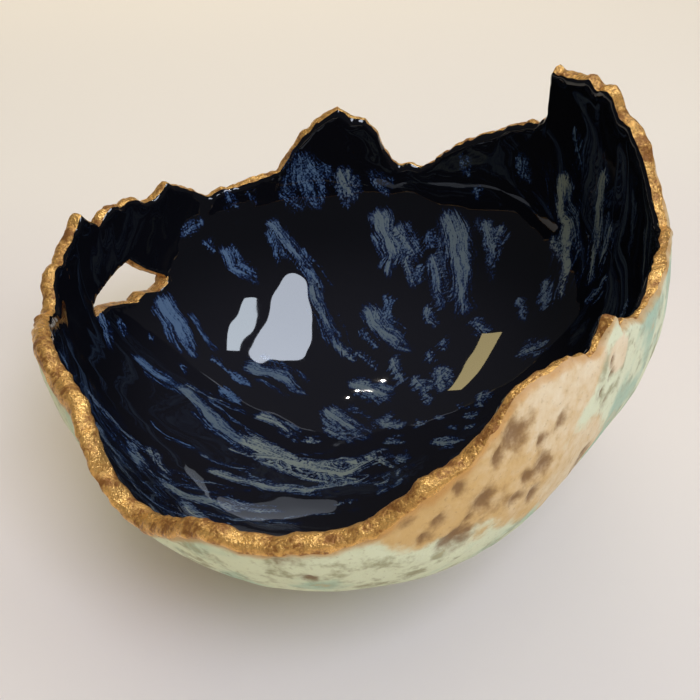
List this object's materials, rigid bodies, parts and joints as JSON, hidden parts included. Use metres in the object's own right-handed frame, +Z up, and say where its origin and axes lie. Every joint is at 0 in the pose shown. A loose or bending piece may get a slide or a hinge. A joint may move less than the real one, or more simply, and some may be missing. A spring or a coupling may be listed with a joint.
{
  "type": "ceramic bowl",
  "caption": "Hand-built round stoneware bowl with a torn, gilded rim, a three-cornered opening in the wall, a glossy dark glaze inside and rough pale slip outside.",
  "frame": {"origin": "middle of the flat foot, on its underside", "axes": "+Z up, +X to the right and -Y to the front of the view it was built from"},
  "size_m": [0.2545, 0.2614, 0.1576],
  "materials": {
    "glazed_stoneware": "glossy black-blue glaze inside, gilded rim, matte pale green and cream slip outside"
  },
  "bodies": {
    "root": {"bowl": "glazed_stoneware"}
  },
  "joints": []
}
